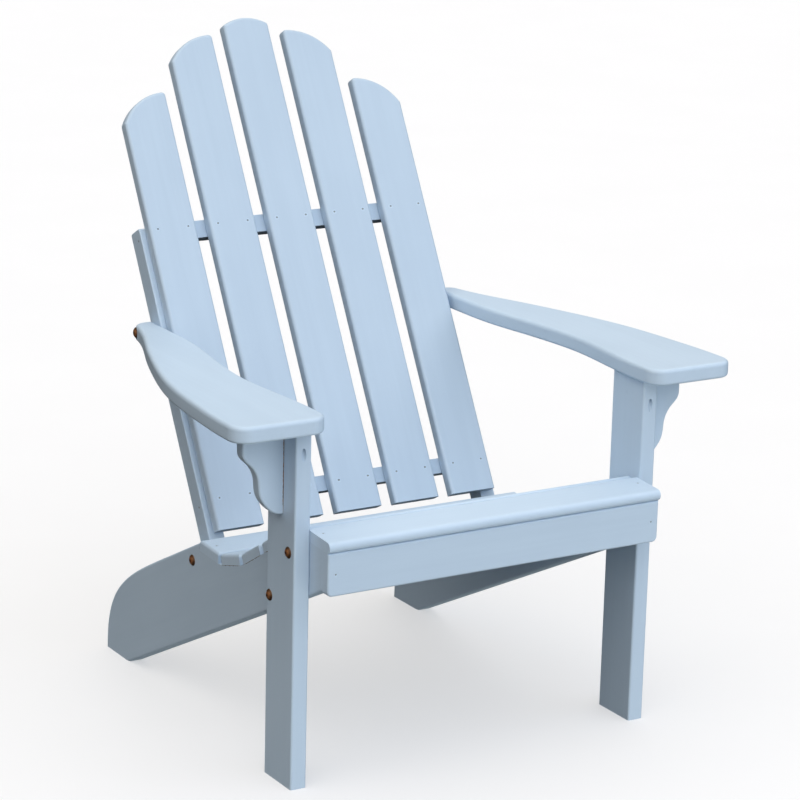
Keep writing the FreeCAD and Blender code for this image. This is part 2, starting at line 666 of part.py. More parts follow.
def chair():
    """Every piece of the chair by name."""
    sides = ("left", "right")
    seat = seat_screws()
    lower = slat_screws(LOWER_RAIL[0] + SLAT_SCREW_RISE[0])
    upper = slat_screws(UPPER_RAIL[0] + SLAT_SCREW_RISE[1])
    frame = frame_screws()
    bracket = bracket_screws()
    apron_set = Screws(APRON_SCREW_LENGTH)
    apron_middle = (APRON_BOTTOM + seat_line(RAIL_FRONT)) / 2
    for side in sides:
        place = Vector(sign_of(side) * RAIL_MIDDLE, RAIL_FRONT - APRON_THICK, apron_middle)
        apron_set.add(place, Vector(0, 1, 0))
    pockets = [Pocket(side) for side in sides]
    leg_bolts, back_bolts, arm_bolts = Bolts(), Bolts(), Bolts()
    back_place = back_point(0, BACK_BOLT[0], SLAT_THICK + UPRIGHT_DEPTH * BACK_BOLT[1])
    arm_y, arm_z = arm_bolt_place()
    for side in sides:
        for y, z in leg_bolt_places():
            leg_bolts.add(y, z, LEG_SPREAD / 2, RAIL_IN, side)
        back_bolts.add(back_place.y, back_place.z, RAIL_OUT, UPRIGHT_IN, side)
        arm_bolts.add(arm_y, arm_z, RAIL_IN + ARM_BOLT_SEAT, UPRIGHT_IN, side)

    pieces = {}
    for side in sides:
        leg = bored(front_leg(side), leg_bolts.holes, bracket.holes)
        pieces["front_leg_" + side] = leg.cut([pocket.cutter() for pocket in pockets])
        rail = side_rail(side)
        pieces["side_rail_" + side] = bored(rail, leg_bolts.holes, back_bolts.holes, seat.holes, apron_set.holes)
        upright = back_upright(side)
        pieces["back_upright_" + side] = bored(
            upright, back_bolts.holes, arm_bolts.holes, lower.holes, upper.holes, frame.holes
        )
        board = bored(arm(side), arm_bolts.holes)
        pieces["arm_" + side] = board.cut([pocket.cutter() for pocket in pockets])
        pieces["arm_bracket_" + side] = bored(arm_bracket(side), bracket.holes)
    pieces["apron"] = bored(apron(), apron_set.holes)
    pieces["back_rail_lower"] = bored(cross_rail(LOWER_RAIL), lower.holes, frame.holes)
    pieces["back_rail_upper"] = bored(cross_rail(UPPER_RAIL), upper.holes, frame.holes)
    for index in range(SLAT_COUNT):
        pieces["back_slat_%d" % (index + 1)] = bored(back_slat(index), lower.holes, upper.holes)
    for index in range(len(SEAT_FALLS)):
        pieces["seat_slat_%d" % (index + 1)] = bored(seat_slat(index), seat.holes)
    groups = {
        "seat_screws": seat.solids,
        "back_slat_screws_lower": lower.solids,
        "back_slat_screws_upper": upper.solids,
        "back_frame_screws": frame.solids,
        "bracket_screws": bracket.solids,
        "apron_screws": apron_set.solids,
        "arm_pocket_screws": [pocket.screw() for pocket in pockets],
        "leg_bolts": leg_bolts.heads,
        "leg_bolt_washers": leg_bolts.washers,
        "leg_bolt_nuts": leg_bolts.nuts,
        "back_bolts": back_bolts.heads,
        "back_bolt_washers": back_bolts.washers,
        "back_bolt_nuts": back_bolts.nuts,
        "arm_bolts": arm_bolts.heads,
        "arm_bolt_washers": arm_bolts.washers,
        "arm_bolt_nuts": arm_bolts.nuts,
    }
    for name, solids in groups.items():
        pieces[name] = Part.makeCompound(solids)
    return pieces


def main():
    """Builds the chair, centres it over the origin and writes one STEP file per piece."""
    pieces = chair()
    whole = Part.makeCompound(list(pieces.values())).optimalBoundingBox(False, False)
    shift = Vector(0, -(whole.YMin + whole.YMax) / 2, 0)
    os.makedirs("parts", exist_ok=True)
    for name, shape in pieces.items():
        shape.translate(shift)
        shape.exportStep("parts/%s.step" % name)
    print("pieces", len(pieces), "shift", round(shift.y, 3))
    print("size", round(whole.XLength, 1), round(whole.YLength, 1), round(whole.ZLength, 1))


main()
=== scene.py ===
"""Finishes, small details, studio and camera for an adirondack chair of painted timber."""

import itertools
import logging
import math
import random
from abc import ABC, abstractmethod
from dataclasses import dataclass, field
from enum import Enum
from typing import Iterable, Union

import bpy
import numpy as np
from mathutils import Matrix, Vector


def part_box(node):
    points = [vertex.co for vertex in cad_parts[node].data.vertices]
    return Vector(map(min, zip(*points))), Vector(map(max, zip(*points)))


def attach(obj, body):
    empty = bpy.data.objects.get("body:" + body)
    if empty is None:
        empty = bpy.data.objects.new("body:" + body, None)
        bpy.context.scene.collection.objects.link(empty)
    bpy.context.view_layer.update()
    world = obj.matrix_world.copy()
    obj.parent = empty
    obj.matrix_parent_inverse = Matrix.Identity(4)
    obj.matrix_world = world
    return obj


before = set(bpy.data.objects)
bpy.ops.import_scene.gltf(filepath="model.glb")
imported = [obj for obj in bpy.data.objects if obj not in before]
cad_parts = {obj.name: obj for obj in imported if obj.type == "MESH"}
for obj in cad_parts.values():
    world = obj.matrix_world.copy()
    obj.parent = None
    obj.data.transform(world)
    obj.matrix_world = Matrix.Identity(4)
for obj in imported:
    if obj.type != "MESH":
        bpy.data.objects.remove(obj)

LOG = logging.getLogger("adirondack_chair")
MM = 0.001
BACK_LEAN = math.radians(29.4)  # of the back, from upright
RAIL_FALL = math.radians(26.7)  # of the side rails towards the rear, from level
WELD_DIGITS = 6  # decimals of a metre to which two vertices agree when they are one
SCREW_END = 0.5 * MM  # how near a screw's end its width is measured
HEAD_FACE = 0.01 * MM  # how near the top a vertex lies that is on the head's face
BOARD_END = 0.02 * MM  # how near a board's end a vertex lies that is on its end face
LEVEL_SLACK = 1e-8  # rounding, in square metres, that still counts as on a line and not below it
MIX_FIRST, MIX_SECOND, MIX_RESULT = 6, 7, 2  # a Mix node's sockets for colours; their names aren't unique
# the second is the painted shade in a screw cap's recess
CAP_PAINT, CAP_RECESS_SHADE = 0, 1  # the materials of a screw cap, by number

Colour = tuple[float, float, float]
Span = tuple[float, float]  # where something starts and where it is full
Number = Union["Value", float]


# ---- shader maths ------------------------------------------------------------------------------------------
class Value:
    """A number that varies over a surface, held as a shader socket."""

    def __init__(self, shader: "Shader", socket: bpy.types.NodeSocket) -> None:
        """Wraps a socket of a shader's tree."""
        self.shader = shader
        self.socket = socket

    def _with(self, operation: str, first: Number, second: Number) -> "Value":
        """Adds a Math node on two numbers and returns its result."""
        return self.shader.number("ShaderNodeMath", {"operation": operation}, {0: first, 1: second})

    def __add__(self, other: Number) -> "Value":
        """self + other."""
        return self._with("ADD", self, other)

    __radd__ = __add__

    def __mul__(self, other: Number) -> "Value":
        """self * other."""
        return self._with("MULTIPLY", self, other)

    __rmul__ = __mul__

    def __abs__(self) -> "Value":
        """The number without its sign."""
        return self.shader.number("ShaderNodeMath", {"operation": "ABSOLUTE"}, {0: self})

    def ramp(self, low: float, high: float) -> "Value":
        """0 below low, 1 above high and smooth between.

        Args:
            low: the number that gives 0.
            high: the number that gives 1.

        Returns:
            The smoothed step.
        """
        settings = {"interpolation_type": "SMOOTHSTEP"}
        sockets = {"Value": self, "From Min": low, "From Max": high}
        return self.shader.number("ShaderNodeMapRange", settings, sockets)


class Shader:
    """The node tree of one material, with a Principled shader at its end."""

    def __init__(self, name: str) -> None:
        """Makes an empty material with the two closing nodes."""
        self.material = bpy.data.materials.new(name)
        self.material.use_nodes = True
        self.tree = self.material.node_tree
        self.tree.nodes.clear()
        self.surface = self.node("ShaderNodeBsdfPrincipled")
        self.node("ShaderNodeOutputMaterial", sockets={"Surface": self.surface.outputs["BSDF"]})

    def node(
        self,
        kind: str,
        settings: dict[str, object] | None = None,
        sockets: dict[str | int, object] | None = None,
    ) -> bpy.types.Node:
        """Adds a node.

        Args:
            kind: the node's type name.
            settings: the node's own settings, set before anything else.
            sockets: input name or number with a number, a colour or vector, or a socket to link.

        Returns:
            The new node.
        """
        node = self.tree.nodes.new(kind)
        for name, setting in (settings or {}).items():
            setattr(node, name, setting)
        for key, given in (sockets or {}).items():
            self.give(node.inputs[key], given)
        return node

    def give(self, socket: bpy.types.NodeSocket, given: object) -> None:
        """Gives an input socket a link, a colour, a vector or a number."""
        given = given.socket if isinstance(given, Value) else given
        if isinstance(given, bpy.types.NodeSocket):
            self.tree.links.new(given, socket)
        elif isinstance(given, tuple) and socket.type == "RGBA":
            socket.default_value = (*given, 1.0)
        else:
            socket.default_value = given

    def number(self, kind: str, settings: dict[str, object], sockets: dict[str | int, object]) -> Value:
        """Adds a node and wraps its first output as a number."""
        return Value(self, self.node(kind, settings, sockets).outputs[0])

    def place(self) -> bpy.types.NodeSocket:
        """The place on the surface, in metres in the chair's own frame."""
        return self.node("ShaderNodeTexCoord").outputs["Object"]

    def along(self, vector: bpy.types.NodeSocket, axis: Vector) -> Value:
        """How far a vector reaches along an axis.

        Args:
            vector: a vector socket.
            axis: a unit axis.

        Returns:
            Their dot product.
        """
        node = self.node("ShaderNodeVectorMath", {"operation": "DOT_PRODUCT"}, {0: vector, 1: tuple(axis)})
        return Value(self, node.outputs["Value"])

    def vector(self, x: Number, y: Number, z: Number) -> bpy.types.NodeSocket:
        """A vector from three numbers."""
        return self.node("ShaderNodeCombineXYZ", sockets={"X": x, "Y": y, "Z": z}).outputs["Vector"]

    def noise(
        self, place: bpy.types.NodeSocket, scale: float, detail: float = 2.0, roughness: float = 0.5
    ) -> Value:
        """Soft noise between about 0.3 and 0.7.

        Args:
            place: where the noise is read.
            scale: how many lumps fit in a unit of place.
            detail: how many finer layers it has.
            roughness: how strong the finer layers are.

        Returns:
            The noise.
        """
        sockets = {"Vector": place, "Scale": scale, "Detail": detail, "Roughness": roughness}
        return self.number("ShaderNodeTexNoise", {}, sockets)

    def mix(self, share: Number, first: object, second: object) -> bpy.types.NodeSocket:
        """A colour between two colours.

        Args:
            share: 0 for the first colour and 1 for the second.
            first: a colour or a colour socket.
            second: a colour or a colour socket.

        Returns:
            The mixed colour.
        """
        sockets = {0: share, MIX_FIRST: first, MIX_SECOND: second}
        return self.node("ShaderNodeMix", {"data_type": "RGBA"}, sockets).outputs[MIX_RESULT]

    def bump(self, height: Value, depth: float) -> None:
        """Lets a height, in units of depth metres, tilt the surface's normal."""
        sockets = {"Height": height, "Distance": depth, "Strength": 1.0}
        self.feed("Normal", self.node("ShaderNodeBump", sockets=sockets).outputs["Normal"])

    def feed(self, name: str, given: object) -> None:
        """Gives the closing shader's socket a number, a colour or a link."""
        self.give(self.surface.inputs[name], given)


# ---- finishes ----------------------------------------------------------------------------------------------
class Grain(Enum):
    """The way the timber's grain runs, as (along, across) in the chair's frame."""

    ACROSS = (Vector((1, 0, 0)), Vector((0, 1, 0)))
    UPRIGHT = (Vector((0, 0, 1)), Vector((0, 1, 0)))
    FORWARD = (Vector((0, 1, 0)), Vector((1, 0, 0)))
    BACK = (Vector((0, math.sin(BACK_LEAN), math.cos(BACK_LEAN))), Vector((1, 0, 0)))
    RAIL = (Vector((0, math.cos(RAIL_FALL), -math.sin(RAIL_FALL))), Vector((1, 0, 0)))


class Finish(ABC):
    """Something a surface can be finished in."""

    @abstractmethod
    def material(self, name: str) -> bpy.types.Material:
        """The finish as a material of that name."""


@dataclass(frozen=True)
class Streaks:
    """Noise that is drawn out along the grain."""

    along: float  # lumps in a metre
    across: float  # lumps in a metre
    shown: float  # its share of the pattern in the paint's colour
    raised: float = 0.0  # how far it lifts the paint, in units of the bump's depth
    detail: float = 2.0


@dataclass(frozen=True)
class PaintedTimber(Finish):
    """Brushed satin paint over timber whose grain shows faintly through it."""

    grain: Grain
    board: int  # the board's own number, which shifts its pattern
    tone: float = 1.0  # painted light or shade: how much lighter or darker this board's paint is made, standing in for the light it gets
    shade_below: float = 0.0  # how much painted shade darkens the faces that look down
    # the near-black colour of the painted shade on faces that look down
    underside_shade: Colour = (0.05, 0.06, 0.075)
    colour: Colour = (0.50, 0.63, 0.77)
    thin: Colour = (0.465, 0.59, 0.725)
    full: Colour = (0.53, 0.66, 0.795)
    unevenness: float = 0.42  # how far the colour goes from even to thin and full
    thin_to_full: Span = (0.34, 0.66)  # of the pattern
    facing_down: Span = (0.45, 0.8)  # how far a face looks down where the painted shade starts and where it is full
    roughness: float = 0.39
    roughness_range: float = 0.1
    board_shift: float = 3.7
    strokes: Streaks = Streaks(along=3.0, across=150.0, shown=0.25, raised=0.45, detail=3.0)
    growth: Streaks = Streaks(along=5.0, across=42.0, shown=0.3, raised=0.8)
    clouds: Streaks = Streaks(along=6.0, across=11.0, shown=0.45)
    peel_scale: float = 620.0
    peel_raised: float = 0.12
    bump_depth: float = 0.22 * MM

    def material(self, name: str) -> bpy.types.Material:
        """Builds the paint.

        Args:
            name: the material's name.

        Returns:
            The material.
        """
        shader = Shader(name)
        place = shader.place()
        along, across = self.grain.value
        axes = (along, across, along.cross(across))
        reaches = tuple(shader.along(place, axis) for axis in axes)
        strokes, growth, clouds = (
            self.streaks(shader, reaches, streaks) for streaks in (self.strokes, self.growth, self.clouds)
        )
        shifted = shader.vector(reaches[0] + self.shift(), *reaches[1:])
        peel = shader.noise(shifted, self.peel_scale, detail=1.0)
        pattern = self.clouds.shown * clouds + self.growth.shown * growth + self.strokes.shown * strokes
        relief = strokes * self.strokes.raised + growth * self.growth.raised + peel * self.peel_raised
        shader.feed("Base Color", self.shade(shader, pattern))
        shader.feed("Roughness", self.roughness + self.roughness_range * growth)
        shader.bump(relief, self.bump_depth)
        return shader.material

    def shift(self) -> float:
        """How far this board's pattern is moved along the grain."""
        return self.board_shift * self.board

    def streaks(self, shader: Shader, reaches: tuple[Value, ...], streaks: Streaks) -> Value:
        """Noise that runs with this board's grain.

        Args:
            shader: the paint's shader.
            reaches: the place along the grain, across it and through the board.
            streaks: how the noise is drawn out.

        Returns:
            The noise.
        """
        along, across, through = reaches
        place = shader.vector(
            along * streaks.along + self.shift(), across * streaks.across, through * streaks.across
        )
        return shader.noise(place, scale=1.0, detail=streaks.detail)

    def shade(self, shader: Shader, pattern: Value) -> bpy.types.NodeSocket:
        """The paint's colour.

        Args:
            shader: the paint's shader.
            pattern: where the paint lies thin (below a half) and full (above).

        Returns:
            The colour, with painted shade on faces that look down.
        """
        # the board's painted light or shade scales all its colours
        colour, thin, full = (
            tuple(self.tone * part for part in paint) for paint in (self.colour, self.thin, self.full)
        )
        uneven = shader.mix(pattern.ramp(*self.thin_to_full), thin, full)
        shade = shader.mix(self.unevenness, colour, uneven)
        # painted shade: faces that look down are darkened, as if in shadow
        if self.shade_below:
            normal = shader.node("ShaderNodeNewGeometry").outputs["Normal"]
            below = shader.along(normal, Vector((0, 0, -1))).ramp(*self.facing_down)
            shade = shader.mix(below * self.shade_below, shade, self.underside_shade)
        return shade


@dataclass(frozen=True)
class PaintedRecessShade(Finish):
    """Dark paint over a driver's recess: painted shade, with a few lighter dust specks."""

    # painted shade: the recess's dark colour
    colour: Colour = (0.17, 0.21, 0.25)
    dust: Colour = (0.27, 0.31, 0.34)
    speck_scale: float = 1400.0
    dusty: Span = (0.4, 0.6)  # of the specks
    roughness: float = 0.55
    roughness_range: float = 0.2

    def material(self, name: str) -> bpy.types.Material:
        """Builds the recess's painted shade of that name, with its dust specks."""
        shader = Shader(name)
        specks = shader.noise(shader.place(), self.speck_scale)
        shader.feed("Base Color", shader.mix(specks.ramp(*self.dusty), self.colour, self.dust))
        shader.feed("Roughness", self.roughness + self.roughness_range * specks)
        return shader.material


@dataclass(frozen=True)
class BronzedSteel(Finish):
    """Bolt heads with a bronze finish: copper brown on the crown and nearly black painted shade round the
    rim.
    """

    crown: Colour = (0.62, 0.27, 0.115)
    # painted shade: the nearly black colour round the dome's rim
    rim_shade: Colour = (0.11, 0.058, 0.034)
    worn: Colour = (0.80, 0.45, 0.22)
    metallic: float = 0.85
    roughness: float = 0.32
    roughness_range: float = 0.25
    mottle_scale: float = 900.0
    mottled: float = 0.12  # how far the mottle moves the edge of the crown
    rim_shade_to_crown: Span = (0.82, 1.0)  # how far a face looks outward at the rim and on the crown
    scuff_scale: float = 2400.0
    scuffed: Span = (0.56, 0.72)  # of the scuffs
    scuff_strength: float = 0.5
    bump_depth: float = 0.05 * MM

    def material(self, name: str) -> bpy.types.Material:
        """Builds the bronze finish.

        Args:
            name: the material's name.

        Returns:
            The material.
        """
        shader = Shader(name)
        normal = shader.node("ShaderNodeNewGeometry").outputs["Normal"]
        # painted shade: faces that turn away from the side go nearly black round the rim
        outward = abs(shader.along(normal, Vector((1, 0, 0))))
        mottle = shader.noise(shader.place(), self.mottle_scale, detail=3.0, roughness=0.6)
        crowned = (outward + self.mottled * mottle).ramp(*self.rim_shade_to_crown)
        face = shader.mix(crowned, self.rim_shade, self.crown)
        scuffs = shader.noise(shader.place(), self.scuff_scale)
        scuffed = scuffs.ramp(*self.scuffed) * self.scuff_strength
        shader.feed("Base Color", shader.mix(scuffed, face, self.worn))
        shader.feed("Roughness", self.roughness + self.roughness_range * mottle)
        shader.feed("Metallic", self.metallic)
        shader.bump(mottle, self.bump_depth)
        return shader.material


@dataclass(frozen=True)
class ZincedSteel(Finish):
    """Bright zinc plate on washers, nuts and screws, slightly clouded."""

    colour: Colour = (0.56, 0.57, 0.58)
    dull: Colour = (0.36, 0.37, 0.39)
    roughness: float = 0.28
    roughness_range: float = 0.2
    cloud_scale: float = 700.0
    dull_to_bright: Span = (0.35, 0.65)  # of the clouds
    bump_depth: float = 0.03 * MM

    def material(self, name: str) -> bpy.types.Material:
        """Builds the zinc plate of that name."""
        shader = Shader(name)
        cloud = shader.noise(shader.place(), self.cloud_scale, detail=3.0, roughness=0.6)
        shader.feed("Base Color", shader.mix(cloud.ramp(*self.dull_to_bright), self.dull, self.colour))
        shader.feed("Roughness", self.roughness + self.roughness_range * cloud)
        shader.feed("Metallic", 1.0)
        shader.bump(cloud, self.bump_depth)
        return shader.material


@dataclass(frozen=True)
class BareTimber(Finish):
    """Timber or dirt that shows in a joint where the paint has parted."""

    pale: Colour = (0.30, 0.16, 0.085)
    dark: Colour = (0.10, 0.052, 0.032)
    roughness: float = 0.75
    fleck_scale: float = 160.0
    dark_to_pale: Span = (0.38, 0.62)  # of the flecks
    bump_depth: float = 0.1 * MM

    def material(self, name: str) -> bpy.types.Material:
        """Builds the bare timber of that name."""
        shader = Shader(name)
        up = shader.along(shader.place(), Vector((0, 0, 1)))
        fleck = shader.noise(shader.vector(0.0, 0.0, up), self.fleck_scale, detail=3.0)
        shader.feed("Base Color", shader.mix(fleck.ramp(*self.dark_to_pale), self.dark, self.pale))
        shader.feed("Roughness", self.roughness)
        shader.bump(fleck, self.bump_depth)
        return shader.material


@dataclass(frozen=True)
class StudioPaper(Finish):
    """The pale paper of the floor and the backdrop."""

    colour: Colour = (0.45, 0.455, 0.47)
    glow: float = 0.46
    fibre_tone: float = 0.985
    fibre_scale: float = 3.0
    fibrous: Span = (0.3, 0.7)  # of the fibre
    roughness: float = 0.9

    def material(self, name: str) -> bpy.types.Material:
        """Builds the paper of that name."""
        shader = Shader(name)
        fibre = shader.noise(shader.place(), self.fibre_scale)
        tone = tuple(self.fibre_tone * part for part in self.colour)
        shader.feed("Base Color", shader.mix(fibre.ramp(*self.fibrous), tone, self.colour))
        shader.feed("Roughness", self.roughness)
        shader.feed("Emission Color", (1.0, 1.0, 1.0))
        shader.feed("Emission Strength", self.glow)
        return shader.material


# ---- meshes ------------------------------------------------------------------------------------------------
@dataclass
class MeshParts:
    """The vertices and faces of a mesh as it is built up."""

    points: list[Vector] = field(default_factory=list)
    faces: list[tuple[int, ...]] = field(default_factory=list)
    kinds: list[int] = field(default_factory=list)  # each face's material number, or none at all


def apply_finish(node: str, finish: Finish) -> None:
    """Gives a CAD piece its finish.

    Args:
        node: the piece's name.
        finish: what it is finished in.
    """
    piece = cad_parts[node]
    material = finish.material(f"{node}_finish")
    for slot in piece.material_slots:
        slot.material = material
    LOG.info("dressed %s in %s", node, type(finish).__name__)


def add_piece(name: str, parts: MeshParts, materials: Iterable[bpy.types.Material]) -> None:
    """Makes a new piece of the chair that rides with its frame.

    Args:
        name: the piece's name.
        parts: its mesh, in the chair's frame.
        materials: its materials.
    """
    mesh = bpy.data.meshes.new(name)
    mesh.from_pydata([tuple(point) for point in parts.points], [], parts.faces)
    mesh.shade_smooth()
    for material in materials:
        mesh.materials.append(material)
    if parts.kinds:
        mesh.polygons.foreach_set("material_index", parts.kinds)
    piece = bpy.data.objects.new(name, mesh)
    bpy.context.scene.collection.objects.link(piece)
    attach(piece, "root")
    LOG.info("made %s with %d faces", name, len(mesh.polygons))


def solids_of(node: str) -> list[np.ndarray]:
    """The vertices of each separate solid of a CAD piece."""
    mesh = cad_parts[node].data
    points = np.array([vertex.co for vertex in mesh.vertices])
    _, merged = np.unique(np.round(points, WELD_DIGITS), axis=0, return_inverse=True)
    merged = merged.ravel()
    leader = list(range(int(merged.max()) + 1))

    def find(item: int) -> int:
        """The leader of an item's group."""
        while leader[item] != item:
            leader[item] = leader[leader[item]]
            item = leader[item]
        return item

    for face in mesh.polygons:
        first, *others = [int(merged[index]) for index in face.vertices]
        for other in others:
            leader[find(other)] = find(first)
    groups = np.array([find(int(item)) for item in merged])
    return [points[groups == group] for group in np.unique(groups)]


def driven_heads(node: str) -> list[tuple[Vector, Vector]]:
    """Where the screws of a CAD piece were driven.

    Args:
        node: a piece made of several screws.

    Returns:
        The middle of each head's face and the way it looks.
    """
    heads = []
    for points in solids_of(node):
        middle = points.mean(0)
        *_, directions = np.linalg.svd(points - middle, full_matrices=False)
        axis = directions[0]
        reach = (points - middle) @ axis
        spread = np.linalg.norm(points - middle - np.outer(reach, axis), axis=1)
        near_top = spread[reach > reach.max() - SCREW_END].max()
        near_tip = spread[reach < reach.min() + SCREW_END].max()
        if near_tip > near_top:
            axis, reach = -axis, -reach
        top = points[reach > reach.max() - HEAD_FACE]
        heads.append((Vector((top.min(0) + top.max(0)) / 2), Vector(axis)))
    return heads


def end_underside(node: str, side: int) -> tuple[Vector, Vector]:
    """The lower edge of a board's end, front and rear.

    Args:
        node: a board that lies across the chair.
        side: -1 for its left end and 1 for its right.

    Returns:
        The two ends of the longest line that has the whole end above it.
    """
    points = np.array([vertex.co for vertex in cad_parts[node].data.vertices])
    reach = points[:, 0] * side
    end = np.unique(np.round(points[reach > reach.max() - BOARD_END], WELD_DIGITS), axis=0)
    best = (0.0, 0, 0)
    for front, rear in itertools.permutations(range(len(end)), 2):
        run = end[rear] - end[front]
        if run[1] <= 0:
            continue
        above = run[1] * (end[:, 2] - end[front, 2]) - run[2] * (end[:, 1] - end[front, 1])
        if above.min() > -LEVEL_SLACK:
            best = max(best, (float(np.hypot(run[1], run[2])), front, rear))
    return Vector(end[best[1]]), Vector(end[best[2]])


@dataclass(frozen=True)
class JointLine:
    """A thin ragged line along a joint where the paint has parted."""

    start: Vector
    end: Vector
    across: Vector  # the way the line widens from the joint
    outward: Vector
    width: float
    least: float  # the narrowest place, as a share of the width
    proud: float = 0.25 * MM
    shoulder: float = 0.6  # where the raised face ends, as a share of the width
    end_width: float = 0.2  # at the line's ends, as a share of the width
    taper: float = 6.0  # how fast it widens from its ends
    steps: int = 48

    def add_to(self, parts: MeshParts, rng: random.Random) -> None:
        """Adds the line to a mesh.

        Args:
            parts: the mesh, added to.
            rng: where the raggedness comes from.
        """
        first = len(parts.points)
        for step in range(self.steps + 1):
            share = step / self.steps
            taper = min(1.0, self.end_width + self.taper * min(share, 1 - share))
            width = self.width * (self.least + (1 - self.least) * rng.random()) * taper
            foot = self.start.lerp(self.end, share)
            lifted = foot + self.outward * self.proud
            shoulder = lifted + self.across * (width * self.shoulder)
            section = (foot, lifted, shoulder, foot + self.across * width)
            parts.points += section
        corners = len(section)
        for step in range(self.steps):
            for corner in range(first + corners * step, first + corners * (step + 1) - 1):
                parts.faces.append((corner, corner + 1, corner + corners + 1, corner + corners))


# ---- sub-assemblies ----------------------------------------------------------------------------------------
@dataclass
class Legs:
    """The two front legs."""

    nodes: tuple[str, ...] = ("front_leg_left", "front_leg_right")
    boards: range = range(2)

    def dress(self) -> None:
        """Paints the legs, their grain upright."""
        for node, board in zip(self.nodes, self.boards):
            apply_finish(node, PaintedTimber(Grain.UPRIGHT, board))


@dataclass
class Base:
    """The side rails and the apron."""

    rails: tuple[str, ...] = ("side_rail_left", "side_rail_right")
    rail_boards: range = range(2, 4)
    # painted shade: the side rails' paint made darker
    rail_shade_tone: float = 0.96
    apron: str = "apron"
    apron_board: int = 4

    def dress(self) -> None:
        """Paints the rails along their slope and the apron across."""
        for node, board in zip(self.rails, self.rail_boards):
            apply_finish(node, PaintedTimber(Grain.RAIL, board, tone=self.rail_shade_tone))
        apply_finish(self.apron, PaintedTimber(Grain.ACROSS, self.apron_board))


@dataclass
class Seat:
    """The slats of the seat."""

    boards: range = range(5, 11)
    # painted light: the seat slats' paint made lighter
    tone: float = 1.05
    parted: tuple[int, ...] = (3, 4, 5)  # the slats whose joints with the rails show
    joint_width: float = 1.1 * MM
    joint_least: float = 0.1
    joint_finish: BareTimber = BareTimber(pale=(0.16, 0.12, 0.10), dark=(0.035, 0.035, 0.04))
    seed: int = 5

    def dress(self) -> None:
        """Paints each slat, its grain across the seat."""
        for number, board in enumerate(self.boards, start=1):
            apply_finish(f"seat_slat_{number}", PaintedTimber(Grain.ACROSS, board, tone=self.tone))

    def build_joints(self) -> None:
        """Makes the broken dark lines under the ends of the slats that have parted from the side rails."""
        material = self.joint_finish.material("seat_joint")
        rng = random.Random(self.seed)
        for side, word in ((-1, "left"), (1, "right")):
            parts = MeshParts()
            for number in self.parted:
                front, rear = end_underside(f"seat_slat_{number}", side)
                run = (rear - front).normalized()
                below = Vector((0, run.z, -run.y))
                outward = Vector((side, 0, 0))
                line = JointLine(front, rear, below, outward, self.joint_width, self.joint_least)
                line.add_to(parts, rng)
            add_piece(f"seat_joints_{word}", parts, [material])


@dataclass
class Back:
    """The fan of slats, the cross rails and the uprights behind them."""

    slat_boards: range = range(11, 16)
    # painted shade: the back slats' paint made darker
    slat_shade_tone: float = 0.94
    # painted shade on the back slats' faces that look down
    slat_shade_below: float = 0.45
    uprights: tuple[str, ...] = ("back_upright_left", "back_upright_right")
    upright_boards: range = range(16, 18)
    rails: tuple[str, ...] = ("back_rail_lower", "back_rail_upper")
    rail_boards: range = range(18, 20)
    # painted shade on the cross rails' faces that look down
    rail_shade_below: float = 0.8

    def dress(self) -> None:
        """Paints slats and uprights along the back and the cross rails across it."""
        for number, board in enumerate(self.slat_boards, start=1):
            paint = PaintedTimber(Grain.BACK, board, tone=self.slat_shade_tone, shade_below=self.slat_shade_below)
            apply_finish(f"back_slat_{number}", paint)
        for node, board in zip(self.uprights, self.upright_boards):
            apply_finish(node, PaintedTimber(Grain.BACK, board))
        for node, board in zip(self.rails, self.rail_boards):
            apply_finish(node, PaintedTimber(Grain.ACROSS, board, shade_below=self.rail_shade_below))


@dataclass
class Arms:
    """The arms and the brackets under them."""

    arms: tuple[str, ...] = ("arm_left", "arm_right")
    arm_boards: range = range(20, 22)
    brackets: tuple[str, ...] = ("arm_bracket_left", "arm_bracket_right")
    bracket_boards: range = range(22, 24)
    # painted light: the brackets' paint made lighter under the arms
    bracket_light_tone: float = 1.06
    seam_width: float = 1.3 * MM
    seam_least: float = 0.55
    seam_inset: float = 1.5 * MM
    seed: int = 7

    def dress(self) -> None:
        """Paints the arms front to back and the brackets upright."""
        for node, board in zip(self.arms, self.arm_boards):
            apply_finish(node, PaintedTimber(Grain.FORWARD, board))
        for node, board in zip(self.brackets, self.bracket_boards):
            apply_finish(node, PaintedTimber(Grain.UPRIGHT, board, tone=self.bracket_light_tone))

    def build_seams(self) -> None:
        """Makes the open joint lines between the brackets and the legs."""
        material = BareTimber().material("bare_joint")
        for side, bracket in zip((-1, 1), self.brackets):
            self.build_seam(side, bracket, material)

    def build_seam(self, side: int, bracket: str, material: bpy.types.Material) -> None:
        """Makes one joint line as a thin ragged strip on the bracket's front face.

        Args:
            side: -1 for the left bracket and 1 for the right.
            bracket: the bracket's name.
            material: the strip's material.
        """
        low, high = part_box(bracket)
        joint = low.x if side > 0 else high.x
        foot = Vector((joint, low.y, low.z + self.seam_inset))
        top = Vector((joint, low.y, high.z))
        outward, ahead = Vector((side, 0, 0)), Vector((0, -1, 0))
        parts = MeshParts()
        line = JointLine(foot, top, outward, ahead, self.seam_width, self.seam_least)
        line.add_to(parts, random.Random(self.seed + side))
        add_piece(bracket.replace("arm_bracket", "bracket_joint"), parts, [material])


class Filling(Enum):
    """Sections of the filler over a sunk screw head, from the middle out.

    Each point is a radius and a height above the hole's mouth, in millimetres.
    """

    OPEN_RECESS = ((0.75, -0.62), (1.25, -0.48), (1.75, -0.12), (2.4, 0.05), (3.2, 0.02), (3.88, -0.03))
    PAINTED_OVER = ((0.6, -0.16), (1.1, -0.14), (1.75, -0.05), (2.4, 0.04), (3.2, 0.02), (3.88, -0.03))
    SHRUNK = ((0.45, -0.60), (0.75, -0.52), (1.5, -0.44), (2.4, -0.30), (3.3, -0.10), (3.88, -0.03))


